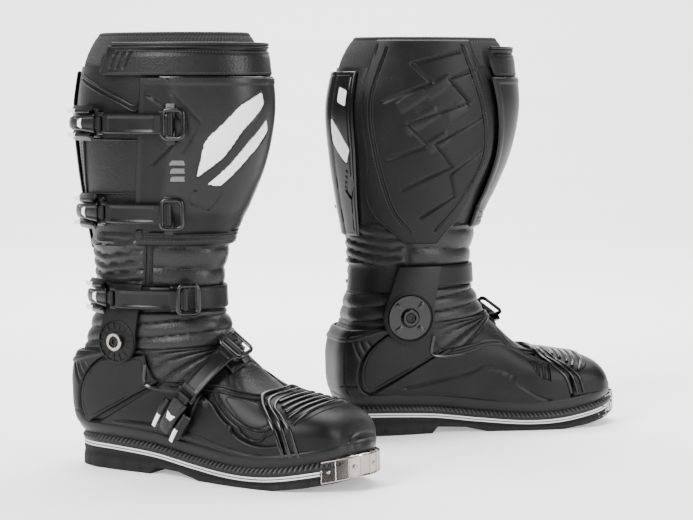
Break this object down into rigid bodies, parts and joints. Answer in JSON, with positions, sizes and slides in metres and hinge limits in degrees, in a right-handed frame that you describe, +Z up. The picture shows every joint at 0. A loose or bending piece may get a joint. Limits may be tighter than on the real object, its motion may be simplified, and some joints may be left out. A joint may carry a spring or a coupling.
{
  "type": "riding boots",
  "caption": "Tall black off-road riding boots with hinged ankles, lever buckles, knitted cuffs, moulded guards, stitched welts and steel toe guards.",
  "frame": {"origin": "bottom centre of the pair's bounding box, on the floor", "axes": "+Z up, +X to the right as the pair stands, the way both toes point, and +Y away from the viewer"},
  "size_m": [0.5686, 0.4572, 0.425],
  "materials": {
    "leather": "fine-grained black leather, semi-matt",
    "knit": "ribbed black knit, matt",
    "moulded_plastic": "moulded black plastic with a fine satin texture",
    "soft_rubber": "moulded black rubber with a fine grip texture",
    "buckle_plastic": "hard black plastic, semi-gloss, with pale tips",
    "outsole_rubber": "matt black rubber under a pale grey midsole band",
    "steel": "bright steel with soft handling scratches",
    "foam": "fabric-covered footbed"
  },
  "bodies": {
    "feet": {"right_outsole": "outsole_rubber", "right_welt": "leather", "right_toe_guard": "steel", "right_foot_upper": "leather", "right_toe_cap": "moulded_plastic", "right_heel_counter": "moulded_plastic", "right_inner_foot_guard": "soft_rubber", "right_outer_foot_guard": "moulded_plastic", "right_footbed": "foam", "right_ankle_bellows": "leather", "right_outer_pivot": "steel", "right_inner_pivot": "steel", "right_instep_anchor": "buckle_plastic", "left_outsole": "outsole_rubber", "left_welt": "leather", "left_toe_guard": "steel", "left_foot_upper": "leather", "left_toe_cap": "moulded_plastic", "left_heel_counter": "moulded_plastic", "left_inner_foot_guard": "soft_rubber", "left_outer_foot_guard": "moulded_plastic", "left_footbed": "foam", "left_ankle_bellows": "leather", "left_outer_pivot": "steel", "left_inner_pivot": "steel", "left_instep_anchor": "buckle_plastic"},
    "right_shaft": {"right_shaft_upper": "leather", "right_gaiter": "knit", "right_shin_plate": "moulded_plastic", "right_calf_plate": "moulded_plastic", "right_inner_calf_guard": "soft_rubber", "right_ankle_frame": "moulded_plastic", "right_top_catch": "buckle_plastic", "right_middle_catch": "buckle_plastic"},
    "right_collar_flap": {"right_collar_flap": "leather"},
    "right_top_strap": {"right_top_strap": "buckle_plastic"},
    "right_top_lever": {"right_top_lever": "buckle_plastic"},
    "right_middle_strap": {"right_middle_strap": "buckle_plastic"},
    "right_middle_lever": {"right_middle_lever": "buckle_plastic"},
    "right_ankle_strap": {"right_ankle_strap": "buckle_plastic"},
    "right_ankle_lever": {"right_ankle_lever": "buckle_plastic"},
    "right_instep_strap": {"right_instep_strap": "buckle_plastic"},
    "right_instep_lever": {"right_instep_lever": "buckle_plastic"},
    "left_shaft": {"left_shaft_upper": "leather", "left_gaiter": "knit", "left_shin_plate": "moulded_plastic", "left_calf_plate": "moulded_plastic", "left_inner_calf_guard": "soft_rubber", "left_ankle_frame": "moulded_plastic", "left_top_catch": "buckle_plastic", "left_middle_catch": "buckle_plastic"},
    "left_collar_flap": {"left_collar_flap": "leather"},
    "left_top_strap": {"left_top_strap": "buckle_plastic"},
    "left_top_lever": {"left_top_lever": "buckle_plastic"},
    "left_middle_strap": {"left_middle_strap": "buckle_plastic"},
    "left_middle_lever": {"left_middle_lever": "buckle_plastic"},
    "left_ankle_strap": {"left_ankle_strap": "buckle_plastic"},
    "left_ankle_lever": {"left_ankle_lever": "buckle_plastic"},
    "left_instep_strap": {"left_instep_strap": "buckle_plastic"},
    "left_instep_lever": {"left_instep_lever": "buckle_plastic"}
  },
  "joints": [
    {"name": "right_ankle_flex", "type": "hinge", "parent": "feet", "child": "right_shaft", "pos_m": [-0.20988, -0.08042, 0.128], "axis": [0.4848, 0.8746, 0], "range_deg": [-8, 14], "stiffness_Nm_per_rad": 25, "deforming": ["right_ankle_bellows"]},
    {"name": "right_collar_flap_open", "type": "hinge", "parent": "right_shaft", "child": "right_collar_flap", "pos_m": [-0.10769, -0.07016, 0.398], "axis": [0, 0, 1], "range_deg": [0, 40]},
    {"name": "right_top_strap_swing", "type": "hinge", "parent": "right_shaft", "child": "right_top_strap", "pos_m": [-0.17734, -0.17853, 0.338], "axis": [0, 0, 1], "range_deg": [0, 50]},
    {"name": "right_top_lever_open", "type": "hinge", "parent": "right_top_strap", "child": "right_top_lever", "pos_m": [-0.24698, -0.14407, 0.338], "axis": [0, 0, 1], "range_deg": [0, 105]},
    {"name": "right_middle_strap_swing", "type": "hinge", "parent": "right_shaft", "child": "right_middle_strap", "pos_m": [-0.18062, -0.16348, 0.253], "axis": [0, 0, 1], "range_deg": [0, 50]},
    {"name": "right_middle_lever_open", "type": "hinge", "parent": "right_middle_strap", "child": "right_middle_lever", "pos_m": [-0.24604, -0.13497, 0.253], "axis": [0, 0, 1], "range_deg": [0, 105]},
    {"name": "right_ankle_strap_swing", "type": "hinge", "parent": "right_shaft", "child": "right_ankle_strap", "pos_m": [-0.1664, -0.15076, 0.171], "axis": [0, 0, 1], "range_deg": [0, 50]},
    {"name": "right_ankle_lever_open", "type": "hinge", "parent": "right_ankle_strap", "child": "right_ankle_lever", "pos_m": [-0.23844, -0.13192, 0.171], "axis": [0, 0, 1], "range_deg": [0, 105]},
    {"name": "right_instep_strap_swing", "type": "hinge", "parent": "feet", "child": "right_instep_strap", "pos_m": [-0.1203, -0.1546, 0.12641], "axis": [-0.7304, 0.3333, 0.5962], "range_deg": [0, 50]},
    {"name": "right_instep_lever_open", "type": "hinge", "parent": "right_instep_strap", "child": "right_instep_lever", "pos_m": [-0.16577, -0.17434, 0.08174], "axis": [-0.7304, 0.3333, 0.5962], "range_deg": [0, 105]},
    {"name": "left_ankle_flex", "type": "hinge", "parent": "feet", "child": "left_shaft", "pos_m": [0.03849, 0.11965, 0.128], "axis": [-0.2924, 0.9563, 0], "range_deg": [-8, 14], "stiffness_Nm_per_rad": 25, "deforming": ["left_ankle_bellows"]},
    {"name": "left_collar_flap_open", "type": "hinge", "parent": "left_shaft", "child": "left_collar_flap", "pos_m": [0.13632, 0.08836, 0.398], "axis": [0, 0, -1], "range_deg": [0, 40]},
    {"name": "left_top_strap_swing", "type": "hinge", "parent": "left_shaft", "child": "left_top_strap", "pos_m": [0.09072, 0.20885, 0.338], "axis": [0, 0, -1], "range_deg": [0, 50]},
    {"name": "left_top_lever_open", "type": "hinge", "parent": "left_top_strap", "child": "left_top_lever", "pos_m": [0.01544, 0.18962, 0.338], "axis": [0, 0, -1], "range_deg": [0, 105]},
    {"name": "left_middle_strap_swing", "type": "hinge", "parent": "left_shaft", "child": "left_middle_strap", "pos_m": [0.08439, 0.19481, 0.253], "axis": [0, 0, -1], "range_deg": [0, 50]},
    {"name": "left_middle_lever_open", "type": "hinge", "parent": "left_middle_strap", "child": "left_middle_lever", "pos_m": [0.01446, 0.18053, 0.253], "axis": [0, 0, -1], "range_deg": [0, 105]},
    {"name": "left_ankle_strap_swing", "type": "hinge", "parent": "left_shaft", "child": "left_ankle_strap", "pos_m": [0.09564, 0.17941, 0.171], "axis": [0, 0, -1], "range_deg": [0, 50]},
    {"name": "left_ankle_lever_open", "type": "hinge", "parent": "left_ankle_strap", "child": "left_ankle_lever", "pos_m": [0.02126, 0.17596, 0.171], "axis": [0, 0, -1], "range_deg": [0, 105]},
    {"name": "left_instep_strap_swing", "type": "hinge", "parent": "feet", "child": "left_instep_strap", "pos_m": [0.14154, 0.17359, 0.12641], "axis": [0.7837, 0.1742, -0.5962], "range_deg": [0, 50]},
    {"name": "left_instep_lever_open", "type": "hinge", "parent": "left_instep_strap", "child": "left_instep_lever", "pos_m": [0.10117, 0.20234, 0.08174], "axis": [0.7837, 0.1742, -0.5962], "range_deg": [0, 105]}
  ]
}
